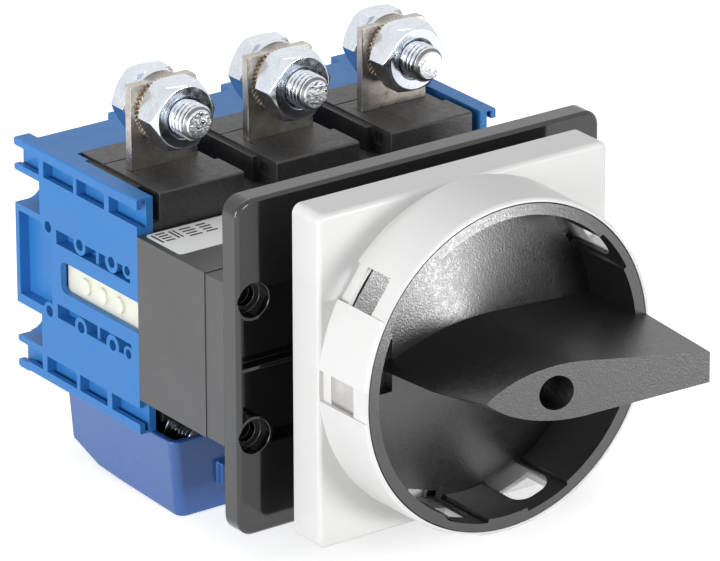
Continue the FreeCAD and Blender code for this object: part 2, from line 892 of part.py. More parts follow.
def mechanism_housing():
    """Black box around the cam and the detent, open to the contact housing."""
    wide, high = box_half_width, box_half_height
    outer = box(-wide, wide, box_seam, box_rear, -high, high)
    room = box(
        -wide + box_wall, wide - box_wall, box_seam - past_face, box_rear + past_face,
        -high + box_wall, high - box_wall
    )
    shell = outer.cut(room)
    inner_top = high - box_wall
    post_rear = box_seam + post_length
    parts = four_corners(rod(post_radius, box_seam, post_rear, bolt_place_x, bolt_place_z))
    parts = [post.common(outer) for post in parts]
    spring_top = detent_flat + 2.0 * seat_gap + detent_spring_thickness
    root = inner_top + post_root
    inner, far = detent_post_inner, detent_post_inner + detent_post_width
    parts += four_corners(box(inner, far, detent_front, detent_rear, spring_top, root))
    stop_edge = stop_half_width + stop_gap
    parts.append(box(
        -stop_edge - stop_width, -stop_edge, stop_front, stop_rear, cam_radius + cam_room, root
    ))
    parts.append(box(
        cam_radius + cam_room, stop_reach, stop_front, stop_rear, -root, -stop_edge
    ))
    body = fuse([shell] + parts)
    holes = four_corners(rod(frame_hole_radius, box_seam - past_face, post_rear - post_floor, bolt_place_x,
                             bolt_place_z))
    return body.cut(holes)


def mechanism_cover():
    """Front part of the box, with the bore that the shaft's bush turns in."""
    wide, high = box_half_width - cover_inset, box_half_height - cover_inset
    outer = box(-wide, wide, box_front, box_seam, -high, high)
    room = box(
        -wide + box_wall, wide - box_wall, box_front + box_cover_wall, box_seam + past_face,
        -high + box_wall, high - box_wall
    )
    shell = outer.cut(room)
    posts = four_corners(rod(post_radius, box_front, box_seam, bolt_place_x, bolt_place_z))
    posts = [post.common(outer) for post in posts]
    collar = rod(bush_radius + bush_collar, box_front, box_seam)
    body = fuse([shell, collar] + posts)
    holes = four_corners(rod(frame_hole_radius, box_front - past_face, box_seam + past_face, bolt_place_x,
                             bolt_place_z))
    return body.cut([rod(bush_radius + shaft_gap, box_front - past_face, box_seam + past_face)] + holes)


def mounting_frame():
    """Black plate that carries the box behind the door panel and the escutcheon in front."""
    wide, high = frame_half_width, frame_half_height
    plate = box(-wide, wide, 0, frame_thickness, -high, high)
    plate = rounded(plate, frame_corner, Vector(0, 1, 0))
    front_edges = [e for e in plate.Edges if all(abs(v.Y) < 1e-6 for v in e.Vertexes)]
    plate = plate.makeChamfer(frame_bead, front_edges)
    recess = box(
        frame_recess_inner, frame_recess_outer, -past_face, frame_recess_depth,
        -frame_recess_half_height, frame_recess_half_height
    )
    half_rib = frame_rib / 2.0
    rib = box(
        frame_recess_inner, frame_recess_outer, -past_face, frame_recess_depth, -half_rib, half_rib
    )
    rings = [
        rod(counterbore_radius + counterbore_ring, -past_face, frame_recess_depth, bolt_place_x, place)
        for place in (bolt_place_z, -bolt_place_z)
    ]
    recess = recess.cut([rib] + rings)
    platform = rod(platform_radius, -panel_gap, past_face)
    body = fuse([plate.cut(both_sides(recess)), platform])
    counterbore = rod(counterbore_radius, -past_face, counterbore_depth, bolt_place_x, bolt_place_z)
    hole = rod(frame_hole_radius, -past_face, frame_thickness + past_face, bolt_place_x, bolt_place_z)
    pilot = rod(platform_pilot_radius, -panel_gap - past_face, frame_thickness - pilot_floor,
                platform_bolt_place, platform_bolt_place)
    cuts = four_corners(counterbore) + four_corners(hole) + four_corners(pilot)
    bore = rod(bush_radius + shaft_gap, -panel_gap - past_face, frame_thickness + past_face)
    return body.cut(cuts + [bore])


def ring_window(angle, width):
    """Shallow strip down the ring's outside and the window in it."""
    reach = ring_base_radius + past_face
    half = width / 2.0
    strip = box(
        ring_front_radius - window_strip_depth, reach, ring_front - past_face, plate_front, -half, half
    )
    window = box(ring_bore - past_face, reach, window_front, ledge_front, -half, half)
    outer_skin = box(ring_bore + ledge_thickness, reach, window_front, plate_front, -half, half)
    return turned(strip.fuse([window, outer_skin]), angle)


def curved_plate(inner, outer, y0, y1, from_angle, to_angle):
    """Piece of a tube about the handle's axis, between two angles."""
    bar = rod(outer, y0, y1).cut(rod(inner, y0 - past_face, y1 + past_face))
    reach = 2.0 * outer
    points = [Vector(0, y0 - past_face, 0)]
    for share in (0.0, 0.5, 1.0):
        angle = math.radians(from_angle + (to_angle - from_angle) * share)
        points.append(Vector(reach * math.cos(angle), y0 - past_face, reach * math.sin(angle)))
    wedge = prism(points, Vector(0, y1 - y0 + 2.0 * past_face, 0))
    return bar.common(wedge)


def locking_strip():
    """Curved steel plate behind the ring's nine o'clock window."""
    inner = ring_bore + seat_gap
    return curved_plate(inner, inner + strip_thickness, strip_front, ledge_front - seat_gap, strip_from,
                        strip_to)


def locking_strip_room():
    """Pocket for the locking strip in the ring's wall."""
    side = math.degrees(seat_gap / ring_bore)
    outer = ring_bore + strip_thickness + 2.0 * seat_gap
    return curved_plate(ring_bore - past_face, outer, strip_front - seat_gap, ledge_front,
                        strip_from - side, strip_to + side)


def locking_ring():
    """Flat steel ring on the pocket's floor, under the handle, notched at each padlock slot."""
    y0 = ring_floor - locking_ring_thickness
    ring = rod(ring_bore - seat_gap, y0, ring_floor)
    half = locking_ring_notch / 2.0
    notch = box(floor_cut_radius, ring_bore + past_face, y0 - past_face, ring_floor + past_face, -half, half)
    cuts = [turned(notch, angle) for angle in handle_slots]
    return ring.cut([rod(locking_ring_inner, y0 - past_face, ring_floor + past_face)] + cuts)


def escutcheon():
    """Grey plate and padlock ring in one moulding."""
    size = plate_half_size
    plate = box(-size, size, plate_front, -panel_gap, -size, size)
    plate = rounded(plate, plate_corner, Vector(0, 1, 0))
    front_edges = [e for e in plate.Edges if all(abs(v.Y - plate_front) < 1e-6 for v in e.Vertexes)]
    plate = plate.makeFillet(plate_edge, front_edges)
    ring = cone(ring_front_radius, ring_base_radius, ring_front, plate_front + past_face)
    body = fuse([plate, ring])
    cuts = [
        rod(ring_bore, ring_front - past_face, ring_floor),
        rod(ring_seat_bore, ring_front - past_face, ring_front + ring_seat_depth),
        rod(hub_radius + turning_gap, ring_floor - past_face, -panel_gap + past_face),
        locking_strip_room(),
    ]
    cuts += [ring_window(angle, width) for angle, width in window_widths.items()]
    screw = rod(platform_screw_hole, ring_floor - past_face, -panel_gap + past_face,
                platform_bolt_place, platform_bolt_place)
    return body.cut(cuts + four_corners(screw))


def escutcheon_screws():
    """Screws through the escutcheon's floor into the frame's platform, hidden by the handle."""
    head_front = ring_floor - platform_screw_head_height
    head = rod(platform_screw_head, head_front, ring_floor)
    shank = rod(platform_screw_radius, ring_floor - past_face, frame_thickness - platform_screw_end)
    screw = head.fuse(shank).cut(driver_slot(platform_screw_head, head_front, platform_screw_slot))
    screw.translate(Vector(platform_bolt_place, 0, platform_bolt_place))
    return Part.makeCompound(four_corners(screw))


def grip_outline(y, slope, nose, curve, tail):
    """Closed outline of the grip: a pointed nose, a bulge around the screw and a straight taper."""
    def point(x, z):
        return Vector(x, y - slope * x, z)

    tail_x, tail_z = tail
    top = Part.BSplineCurve()
    top.interpolate([point(nose, 0.0)] + [point(x, z) for x, z in curve])
    bottom = Part.BSplineCurve()
    bottom.interpolate([point(nose, 0.0)] + [point(x, -z) for x, z in curve])
    last_x, last_z = curve[-1]
    edges = [
        top.toShape(),
        Part.makeLine(point(last_x, last_z), point(tail_x, tail_z)),
        Part.makeLine(point(tail_x, tail_z), point(tail_x, -tail_z)),
        Part.makeLine(point(tail_x, -tail_z), point(last_x, -last_z)),
        bottom.toShape(),
    ]
    return Part.Wire(Part.__sortEdges__(edges))


def grip():
    """Grip with a sloping front face, drawn through three outlines down to the bowl's floor."""
    face = grip_outline(grip_face_at_axis, grip_slope, grip_face_nose, grip_face_curve, grip_face_tail)
    waist = grip_outline(grip_waist, 0.0, grip_waist_nose, grip_waist_curve, grip_waist_tail)
    base = grip_outline(bowl_floor + past_face, 0.0, grip_base_nose, grip_base_curve, grip_base_tail)
    return Part.makeLoft([face, waist, base], True, True)


def handle_slot(angle):
    """Padlock slot through the bowl's wall, rounded at its front."""
    half = handle_slot_width / 2.0
    hole = box(
        bowl_inner - handle_slot_reach, bowl_outer + past_face, handle_slot_front,
        bowl_floor + handle_slot_corner,
        -half, half
    )
    hole = rounded(hole, handle_slot_corner, Vector(1, 0, 0))
    hole = hole.common(box(0, bowl_outer + past_face, handle_slot_front, bowl_floor, -half, half))
    relief_half = relief_width / 2.0
    relief = box(
        bowl_inner - handle_slot_reach, relief_radius, rim_front - past_face, bowl_floor,
        -relief_half, relief_half
    )
    relief = relief.common(rod(relief_radius, rim_front - past_face, bowl_floor))
    floor_cut = box(
        floor_cut_radius, bowl_outer + past_face, bowl_floor - handle_slot_corner,
        bowl_floor + bowl_floor_thickness + past_face, -half, half
    )
    return turned(hole.fuse([relief, floor_cut]), angle)


def handle():
    """Black bowl, grip and hub in one moulding."""
    rim = rod(rim_radius, rim_front, rim_front + rim_thickness)
    bowl = rod(bowl_outer, rim_front + rim_thickness, bowl_floor + bowl_floor_thickness)
    shell = rim.fuse(bowl)
    shell = shell.cut(rod(bowl_inner, rim_front - past_face, bowl_floor))
    shell = shell.cut([handle_slot(angle) for angle in handle_slots])
    inside = rod(rim_radius, grip_face_at_axis - 2.0 * rim_radius, rim_front + rim_thickness).fuse(bowl)
    lever = grip().common(inside)
    hub = rod(hub_radius, bowl_floor, hub_rear)
    body = fuse([shell, lever, hub])
    half = shaft_size / 2.0 + shaft_gap
    floor_slot = box(
        -floor_slot_outer, -floor_slot_inner, bowl_floor - seat_gap,
        bowl_floor + bowl_floor_thickness + past_face,
        -floor_slot_half_height, floor_slot_half_height
    )
    floor_slot = floor_slot.cut(grip())
    cuts = [
        rod(screw_hole_radius, grip_face_at_axis - rim_thickness, screw_seat),
        rod(screw_passage_radius, screw_seat - past_face, shaft_front),
        box(-half, half, shaft_front - shaft_gap, hub_rear + past_face, -half, half),
        floor_slot,
    ]
    return body.cut(cuts)


def handle_screw():
    """Screw down the handle's hole into the shaft."""
    head_rear = screw_seat - screw_washer_thickness
    head_front = head_rear - screw_head_height
    head = rod(screw_head_radius, head_front, head_rear)
    shank = rod(screw_shank_radius, head_rear - seat_gap, head_rear + screw_length)
    return head.fuse(shank).cut(driver_slot(screw_head_radius, head_front, screw_slot_width))


def handle_washer():
    """Washer under the handle screw's head."""
    body = rod(screw_washer_radius, screw_seat - screw_washer_thickness, screw_seat)
    return body.cut(rod(screw_washer_bore, screw_seat - 2.0 * past_face, screw_seat + past_face))


def cover_profile(inset):
    """Side outline of the terminal cover, taken in by a wall."""
    top = cover_top if inset == 0.0 else cover_top + past_face
    chamfer_y, chamfer_z = cover_chamfer_front
    kink_y, kink_z = cover_kink
    return [
        (cover_front + inset, top),
        (cover_rear - inset, top),
        (cover_rear - inset, cover_bottom + cover_chamfer_rear + inset * 0.6),
        (cover_front + chamfer_y - inset * 0.3, cover_bottom + chamfer_z + inset),
        (cover_front + kink_y, cover_bottom + kink_z + inset),
        (cover_front + inset, cover_bottom + inset),
    ]


def drafted_body(inset):
    """Solid inside the cover's outer faces, taken in by a wall."""
    points = [Vector(-2.0 * cover_top_half_width, y, z) for y, z in cover_profile(inset)]
    body = prism(points, Vector(4.0 * cover_top_half_width, 0, 0))
    top, bottom = cover_top_half_width - inset, cover_bottom_half_width - inset
    reach_up = past_face * 2.0
    slope = (top - bottom) / (cover_top - cover_bottom)
    high, low = cover_top + reach_up, cover_bottom - reach_up
    ends = [
        Vector(-top - slope * reach_up, 0, high),
        Vector(top + slope * reach_up, 0, high),
        Vector(bottom - slope * reach_up, 0, low),
        Vector(-bottom + slope * reach_up, 0, low),
    ]
    body = body.common(prism(ends, Vector(0, 2.0 * cover_rear, 0)))
    corners = []
    for edge in body.Edges:
        upright = abs(edge.Vertexes[0].Z - edge.Vertexes[-1].Z) > (cover_top - cover_bottom) / 2.0
        if upright and edge.CenterOfMass.y < cover_front + cover_wall + past_face:
            corners.append(edge)
    return body.makeFillet(cover_edge - inset, corners)


def terminal_cover():
    """Dark-blue cover over the load terminals, with a cable entry under each pole."""
    outer = drafted_body(0.0)
    body = outer.cut(drafted_body(cover_wall))
    entries = []
    for centre in pole_centres:
        entries.append(box(
            centre - entry_half_width, centre + entry_half_width,
            cover_front + entry_front, cover_front + entry_rear,
            cover_bottom - past_face, cover_bottom + cover_kink[1] + 2.0 * cover_wall
        ))
    body = body.cut(entries)
    low, high = cover_top - cover_tab_low, cover_top - cover_tab_high
    root, reach = cover_front + cover_tab_root, cover_front - cover_tab_reach
    tab = [
        Vector(cover_tab_x, root, low),
        Vector(cover_tab_x, reach, low + cover_tab_slant),
        Vector(cover_tab_x, reach, high),
        Vector(cover_tab_x, root, high),
    ]
    return body.fuse(prism(tab, Vector(cover_tab_width, 0, 0)))


def build():
    """Every separate piece of the switch, by name."""
    pieces = {
        "contact_housing": contact_housing(),
        "terminal_cover": terminal_cover(),
        "mechanism_housing": mechanism_housing(),
        "mechanism_cover": mechanism_cover(),
        "mounting_frame": mounting_frame(),
        "escutcheon": escutcheon(),
        "escutcheon_screws": escutcheon_screws(),
        "locking_strip": locking_strip(),
        "locking_ring": locking_ring(),
        "handle": handle(),
        "handle_screw": handle_screw(),
        "handle_washer": handle_washer(),
        "drive_shaft": drive_shaft(),
        "shaft_bush": shaft_bush(),
        "detent_disc": detent_disc(),
        "detent_springs": detent_springs(),
        "barrel_cam": barrel_cam(),
        "contact_carrier": contact_carrier(),
        "follower_pins": follower_pins(),
        "arc_plates": arc_plates(),
        "fixed_tips": Part.makeCompound(contact_tips(terminal_rear)),
    }
    for index, centre in enumerate(pole_centres, start=1):
        pieces[f"line_cap_{index}"] = pole_cap(centre, cap_top)
        pieces[f"load_cap_{index}"] = flipped(pole_cap(centre, load_cap_top))
        pieces[f"line_terminal_{index}"] = terminal(centre, line_flag_end, line_bolt_height)
        pieces[f"load_terminal_{index}"] = flipped(terminal(centre, load_flag_end, load_bolt_height))
        pieces[f"contact_bridge_{index}"] = contact_bridge(centre)
        pieces[f"contact_spring_{index}"] = contact_spring(centre)
        pieces[f"moving_tips_{index}"] = Part.makeCompound(
            contact_tips(bridge_tip_front)[2 * index - 2:2 * index]
        )
    fasteners = {"bolts": bolt(), "nuts": nut(), "lock_washers": lock_washer(), "flat_washers": flat_washer()}
    for name, shape in fasteners.items():
        pieces[f"line_{name}"] = for_each_pole(shape, line_bolt_height)
        pieces[f"load_{name}"] = for_each_pole(shape, -load_bolt_height)
    return pieces


def main():
    os.makedirs("parts", exist_ok=True)
    for name, shape in build().items():
        shape.translate(Vector(0, -counterbore_depth, 0))
        shape.exportStep(f"parts/{name}.step")


main()
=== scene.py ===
import bpy
import bmesh
import json
import math
from mathutils import Matrix, Vector


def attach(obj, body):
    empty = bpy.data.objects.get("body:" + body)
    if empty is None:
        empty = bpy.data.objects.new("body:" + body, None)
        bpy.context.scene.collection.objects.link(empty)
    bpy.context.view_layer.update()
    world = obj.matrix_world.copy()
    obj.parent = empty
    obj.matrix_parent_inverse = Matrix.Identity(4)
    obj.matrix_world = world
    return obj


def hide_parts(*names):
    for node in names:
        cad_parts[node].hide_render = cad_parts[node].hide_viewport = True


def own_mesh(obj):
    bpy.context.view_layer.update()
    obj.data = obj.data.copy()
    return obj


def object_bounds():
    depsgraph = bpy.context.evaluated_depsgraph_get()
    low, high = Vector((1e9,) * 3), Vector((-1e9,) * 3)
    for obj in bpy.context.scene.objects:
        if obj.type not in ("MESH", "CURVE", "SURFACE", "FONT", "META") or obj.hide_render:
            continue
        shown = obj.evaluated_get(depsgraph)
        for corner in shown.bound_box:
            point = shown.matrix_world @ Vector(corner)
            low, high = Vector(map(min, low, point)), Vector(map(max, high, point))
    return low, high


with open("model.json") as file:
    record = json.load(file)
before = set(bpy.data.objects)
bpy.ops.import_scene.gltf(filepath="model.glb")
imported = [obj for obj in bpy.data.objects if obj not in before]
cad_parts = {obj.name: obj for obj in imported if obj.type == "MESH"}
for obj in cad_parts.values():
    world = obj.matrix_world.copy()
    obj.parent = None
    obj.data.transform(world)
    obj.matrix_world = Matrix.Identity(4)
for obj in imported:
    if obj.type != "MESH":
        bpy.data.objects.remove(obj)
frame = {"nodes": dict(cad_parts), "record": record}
cad_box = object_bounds()
nodes = frame["nodes"]
record = frame["record"]
BODY_OF = {one: body for body, held in record["behaviour"]["bodies"].items() for one in held}
scene = bpy.context.scene
MM = 0.001


# Camera

AZIMUTH, ELEVATION, ROLL = map(math.radians, (-36.318, 22.497, 0.076))
DISTANCE = 1.643544
FOCAL_PX = 6620.569
CENTRE_PX = (421.121, 322.132)
AIM_Y = -0.004
WIDTH_PX, HEIGHT_PX = 720, 561


def make_camera():
    back = Vector((
        math.sin(AZIMUTH) * math.cos(ELEVATION), -math.cos(AZIMUTH) * math.cos(ELEVATION), math.sin(ELEVATION)
    ))
    right = Vector((math.cos(AZIMUTH), math.sin(AZIMUTH), 0.0))
    up = back.cross(right)
    right, up = (
        right * math.cos(ROLL) + up * math.sin(ROLL), up * math.cos(ROLL) - right * math.sin(ROLL)
    )
    data = bpy.data.cameras.new("camera")
    data.sensor_fit = "HORIZONTAL"
    data.sensor_width = 36.0
    data.lens = FOCAL_PX / WIDTH_PX * 36.0
    data.shift_x = -(CENTRE_PX[0] - WIDTH_PX / 2) / WIDTH_PX
    data.shift_y = (CENTRE_PX[1] - HEIGHT_PX / 2) / WIDTH_PX
    data.clip_start = 0.05
    data.clip_end = 20.0
    camera = bpy.data.objects.new("camera", data)
    camera.matrix_world = Matrix((
        (right.x, up.x, back.x, back.x * DISTANCE),
        (right.y, up.y, back.y, back.y * DISTANCE + AIM_Y),
        (right.z, up.z, back.z, back.z * DISTANCE),
        (0, 0, 0, 1),
    ))
    scene.collection.objects.link(camera)
    scene.camera = camera


make_camera()


# Materials

FIRST_COLOUR, SECOND_COLOUR, BLENDED = 6, 7, 2
WAVE_SCALE, WAVE_DEPTH = 60.0, 0.0002


def node(tree, kind, **values):
    made = tree.nodes.new(kind)
    for name, value in values.items():
        if name in made.inputs:
            made.inputs[name].default_value = value
        else:
            setattr(made, name, value)
    return made


def noise(tree, scale, detail, roughness):
    """Noise over the piece's own coordinates."""
    coords = node(tree, "ShaderNodeTexCoord")
    made = node(tree, "ShaderNodeTexNoise", Scale=scale, Detail=detail, Roughness=roughness)
    tree.links.new(coords.outputs["Object"], made.inputs["Vector"])
    return made.outputs["Fac"]


def crown(tree, rise):
    """Height of a face that falls away evenly from the handle's axis."""
    coords = node(tree, "ShaderNodeTexCoord")
    across = node(tree, "ShaderNodeVectorMath", operation="MULTIPLY")
    across.inputs[1].default_value = (1.0, 0.0, 1.0)
    radius = node(tree, "ShaderNodeVectorMath", operation="LENGTH")
    height = node(tree, "ShaderNodeMath", operation="MULTIPLY")
    height.inputs[1].default_value = -rise
    tree.links.new(coords.outputs["Object"], across.inputs[0])
    tree.links.new(across.outputs["Vector"], radius.inputs[0])
    tree.links.new(radius.outputs["Value"], height.inputs[0])
    return height.outputs[0]


def spread(tree, value, low, high):
    """Stretches the middle of a noise over the range from low to high."""
    made = node(tree, "ShaderNodeMapRange")
    made.inputs["From Min"].default_value = 0.3
    made.inputs["From Max"].default_value = 0.7
    made.inputs["To Min"].default_value = low
    made.inputs["To Max"].default_value = high
    tree.links.new(value, made.inputs["Value"])
    return made.outputs["Result"]


def blend_colours(tree, factor, first, second):
    made = node(tree, "ShaderNodeMix", data_type="RGBA")
    made.inputs[FIRST_COLOUR].default_value = (*first, 1.0)
    made.inputs[SECOND_COLOUR].default_value = (*second, 1.0)
    tree.links.new(factor, made.inputs[0])
    return made.outputs[BLENDED]


def bump(tree, bsdf, layers):
    """Chain of bumps; each layer is (value, strength, distance)."""
    previous = None
    for value, strength, distance in layers:
        made = node(tree, "ShaderNodeBump", Strength=strength, Distance=distance)
        tree.links.new(value, made.inputs["Height"])
        if previous:
            tree.links.new(previous, made.inputs["Normal"])
        previous = made.outputs["Normal"]
    tree.links.new(previous, bsdf.inputs["Normal"])


def shade(colour, factor):
    return tuple(min(1.0, c * factor) for c in colour)


def material(name, colour, roughness, metallic=0.0, variation=0.06, blotch=40.0, grain=2600.0,
             grain_depth=0.00002, grain_strength=0.3, rough_spread=0.05, rough_scale=300.0, speckle=0.0,
             specular=0.5, coat=0.0, coat_roughness=0.1, subsurface=0.0,
             subsurface_radius=(0.002, 0.002, 0.002), wave_strength=0.0, rise=0.0):
    """Surface with uneven tone and roughness, a fine grain, and waves or a crown where asked."""
    made = bpy.data.materials.new(name)
    made.use_nodes = True
    tree = made.node_tree
    bsdf = tree.nodes["Principled BSDF"]
    large = noise(tree, blotch, 3.0, 0.55)
    fine = noise(tree, grain, 2.0, 0.6)
    tone = blend_colours(tree, spread(tree, large, 0.0, 1.0), shade(colour, 1 - variation),
                         shade(colour, 1 + variation))
    if speckle:
        dots = node(tree, "ShaderNodeMix", data_type="RGBA", blend_type="MULTIPLY")
        dots.inputs[0].default_value = 1.0
        tree.links.new(tone, dots.inputs[FIRST_COLOUR])
        grey = blend_colours(tree, spread(tree, fine, 0.0, 1.0), (1 - speckle,) * 3, (1 + speckle,) * 3)
        tree.links.new(grey, dots.inputs[SECOND_COLOUR])
        tone = dots.outputs[BLENDED]
    tree.links.new(tone, bsdf.inputs["Base Color"])
    patches = noise(tree, rough_scale, 3.0, 0.6)
    tree.links.new(spread(tree, patches, max(0.02, roughness - rough_spread), roughness + rough_spread),
                   bsdf.inputs["Roughness"])
    bsdf.inputs["Metallic"].default_value = metallic
    bsdf.inputs["Specular IOR Level"].default_value = specular
    bsdf.inputs["Coat Weight"].default_value = coat
    bsdf.inputs["Coat Roughness"].default_value = coat_roughness
    bsdf.inputs["Subsurface Weight"].default_value = subsurface
    bsdf.inputs["Subsurface Radius"].default_value = subsurface_radius
    bsdf.inputs["Subsurface Scale"].default_value = 1.0
    layers = [(fine, grain_strength, grain_depth)]
    if wave_strength:
        layers.append((noise(tree, WAVE_SCALE, 2.0, 0.5), wave_strength, WAVE_DEPTH))
    if rise:
        layers.append((crown(tree, rise), 1.0, 1.0))
    bump(tree, bsdf, layers)
    return made


HANDLE_FINISH = {
    "variation": 0.12, "blotch": 50.0, "grain": 1900.0, "grain_depth": 0.0001, "grain_strength": 0.75,
    "rough_spread": 0.05, "rough_scale": 700.0, "speckle": 0.3, "specular": 1.0, "coat": 0.25,
    "coat_roughness": 0.36,
}
MATERIALS = {
    "blue": material("blue_moulding", (0.026, 0.166, 0.450), 0.40, variation=0.05, blotch=30.0, grain=1700.0,
                     grain_depth=0.00001, grain_strength=0.14, rough_spread=0.06, rough_scale=120.0,
                     specular=0.32, subsurface=0.08, subsurface_radius=(0.0004, 0.0007, 0.0014),
                     wave_strength=0.10),
    "cover": material("dark_blue_cover", (0.024, 0.090, 0.300), 0.24, variation=0.06, blotch=25.0,
                      grain=1500.0, grain_depth=0.00001, grain_strength=0.14, rough_spread=0.05,
                      rough_scale=150.0, specular=0.5, coat=0.3, coat_roughness=0.12, wave_strength=0.10),
    "cap": material("grained_black", (0.016, 0.016, 0.017), 0.46, variation=0.15, blotch=60.0, grain=1500.0,
                    grain_depth=0.00012, grain_strength=0.80, rough_spread=0.08, rough_scale=500.0,
                    speckle=0.50, specular=0.8),
    "box": material("box_black", (0.026, 0.026, 0.027), 0.44, variation=0.08, blotch=45.0, grain=2600.0,
                    grain_depth=0.00004, grain_strength=0.30, rough_spread=0.06, rough_scale=60.0,
                    speckle=0.15, specular=1.0),
    "gloss": material("glossy_black", (0.004, 0.004, 0.004), 0.13, variation=0.10, blotch=40.0, grain=900.0,
                      grain_depth=0.00001, grain_strength=0.06, rough_spread=0.04, rough_scale=90.0,
                      specular=0.8, coat=0.2, coat_roughness=0.05, wave_strength=0.05),
    "grey": material("light_grey_moulding", (0.625, 0.625, 0.616), 0.33, variation=0.015, blotch=20.0,
                     grain=2400.0, grain_depth=0.00001, grain_strength=0.12, rough_spread=0.05,
                     rough_scale=140.0, specular=0.5, subsurface=0.06,
                     subsurface_radius=(0.0012, 0.0012, 0.0011), wave_strength=0.05),
    "handle": material("handle_black", (0.004, 0.004, 0.005), 0.40, **HANDLE_FINISH),
    "crowned": material("handle_black_crowned", (0.004, 0.004, 0.005), 0.32, rise=0.22, **HANDLE_FINISH),
    "nylon": material("nylon", (0.70, 0.70, 0.60), 0.34, variation=0.06, blotch=60.0, grain=1500.0,
                      grain_strength=0.14, rough_spread=0.06, subsurface=0.6,
                      subsurface_radius=(0.004, 0.004, 0.003), wave_strength=0.12),
    "tin": material("tinned_copper", (0.50, 0.46, 0.41), 0.34, metallic=1.0, variation=0.16, blotch=320.0,
                    grain=1700.0, grain_depth=0.00005, grain_strength=0.5, rough_spread=0.10,
                    rough_scale=350.0, speckle=0.12),
    "zinc": material("zinc_plated", (0.72, 0.76, 0.82), 0.18, metallic=1.0, variation=0.07, blotch=260.0,
                     grain=1600.0, grain_depth=0.00003, grain_strength=0.28, rough_spread=0.07,
                     rough_scale=450.0, speckle=0.06),
    "zinc_rough": material("zinc_rough_end", (0.70, 0.72, 0.74), 0.32, metallic=1.0, variation=0.18,
                           blotch=900.0, grain=1500.0, grain_depth=0.00025, grain_strength=0.9,
                           rough_spread=0.12, rough_scale=900.0, speckle=0.25),
    # Painted shade: darker zinc put on the faces deep in the thread grooves, where shade falls.
    "groove": material("thread_groove_painted_shade", (0.20, 0.20, 0.20), 0.40, metallic=1.0, variation=0.15, blotch=300.0,
                       grain=1600.0, grain_depth=0.00003, grain_strength=0.3),
    "washer": material("toothed_washer", (0.50, 0.44, 0.37), 0.30, metallic=1.0, variation=0.12, blotch=300.0,
                       grain=1600.0, grain_depth=0.00004, grain_strength=0.4, rough_spread=0.10,
                       rough_scale=500.0, speckle=0.10),
    "steel": material("spring_steel", (0.52, 0.50, 0.48), 0.30, metallic=1.0, variation=0.10, blotch=200.0,
                      grain=1800.0, grain_depth=0.00002, grain_strength=0.25, rough_spread=0.08),
    "copper": material("copper", (0.78, 0.42, 0.27), 0.32, metallic=1.0, variation=0.08, blotch=150.0,
                       grain=1500.0, grain_strength=0.2, rough_spread=0.08),
    "silver": material("silver_alloy", (0.80, 0.79, 0.76), 0.30, metallic=1.0, variation=0.05, grain=1500.0,
                       grain_strength=0.2),
    "paper": material("label_paper", (0.80, 0.80, 0.79), 0.50, variation=0.01, grain=1800.0,
                      grain_depth=0.00001, grain_strength=0.08, rough_spread=0.05),
    "ink": material("label_ink", (0.012, 0.012, 0.012), 0.45, variation=0.1, grain=1800.0,
                    grain_depth=0.00001, grain_strength=0.1),
}


# Mesh tools

MOULDED_ANGLE, FASTENER_ANGLE, SHEET_ANGLE = 32.0, 24.0, 30.0
FLAT_ANGLE = 1.0
WELD_DISTANCE = 0.000002


def link(name, mesh, look, body=None, replaced=()):
    """Puts a mesh in the scene with its materials and its body, and hides the CAD nodes that it stands for.
    """
    piece = bpy.data.objects.new(name, mesh)
    scene.collection.objects.link(piece)
    if mesh.materials:
        mesh.materials.clear()
    for one in look.split():
        mesh.materials.append(MATERIALS[one])
    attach(piece, body or BODY_OF[replaced[0]])
    if replaced:
        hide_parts(*replaced)
    return piece


def soften(piece, width, angle=MOULDED_ANGLE):
    """Rounds the edges of a piece a little, with smooth shading over what stays flat."""
    modifier = piece.modifiers.new("edges", "BEVEL")
    modifier.limit_method = "ANGLE"
    modifier.angle_limit = math.radians(angle)
    modifier.width = width
    modifier.segments = 2
    modifier.use_clamp_overlap = True
    modifier.miter_outer = "MITER_ARC"
    flatten = piece.modifiers.new("flat_faces", "WEIGHTED_NORMAL")
    flatten.keep_sharp = True
    flatten.weight = 100


def smooth_mesh(mesh, angle):
    for polygon in mesh.polygons:
        polygon.use_smooth = True
    mesh.set_sharp_from_angle(angle=math.radians(angle))


def dressed(name, look, width):
    """A copy of a CAD node that stands for it, softened where a width is given."""
    mesh = nodes[name].data.copy()
    mesh.name = name + "_look"
    work = bmesh.new()
    work.from_mesh(mesh)
    bmesh.ops.remove_doubles(work, verts=work.verts, dist=WELD_DISTANCE)
    bmesh.ops.dissolve_limit(
        work, angle_limit=math.radians(FLAT_ANGLE), verts=work.verts, edges=work.edges
    )
    work.to_mesh(mesh)
    work.free()
    smooth_mesh(mesh, MOULDED_ANGLE)
    piece = link(name + "_look", mesh, look, replaced=(name,))
    if width:
        soften(piece, width)
    return piece


def mesh_from(name, verts, faces):
    mesh = bpy.data.meshes.new(name)
    mesh.from_pydata(verts, [], faces)
    mesh.validate()
    return mesh


def rings_to_mesh(name, rings, closed_ends=(False, False)):
    """Surface through rings of equal length, in millimetres."""
    verts, faces = [], []
    count = len(rings[0])
    for ring in rings:
        verts += [(x * MM, y * MM, z * MM) for x, y, z in ring]
    for row in range(len(rings) - 1):
        for i in range(count):
            j = (i + 1) % count
            faces.append((row * count + i, row * count + j, (row + 1) * count + j, (row + 1) * count + i))
    if closed_ends[0]:
        faces.append(tuple(range(count - 1, -1, -1)))
    if closed_ends[1]:
        base = (len(rings) - 1) * count
        faces.append(tuple(base + i for i in range(count)))
    return mesh_from(name, verts, faces)


def circle(radius, y, count=96):
    turn = 2 * math.pi / count
    return [(radius * math.cos(i * turn), y, radius * math.sin(i * turn)) for i in range(count)]


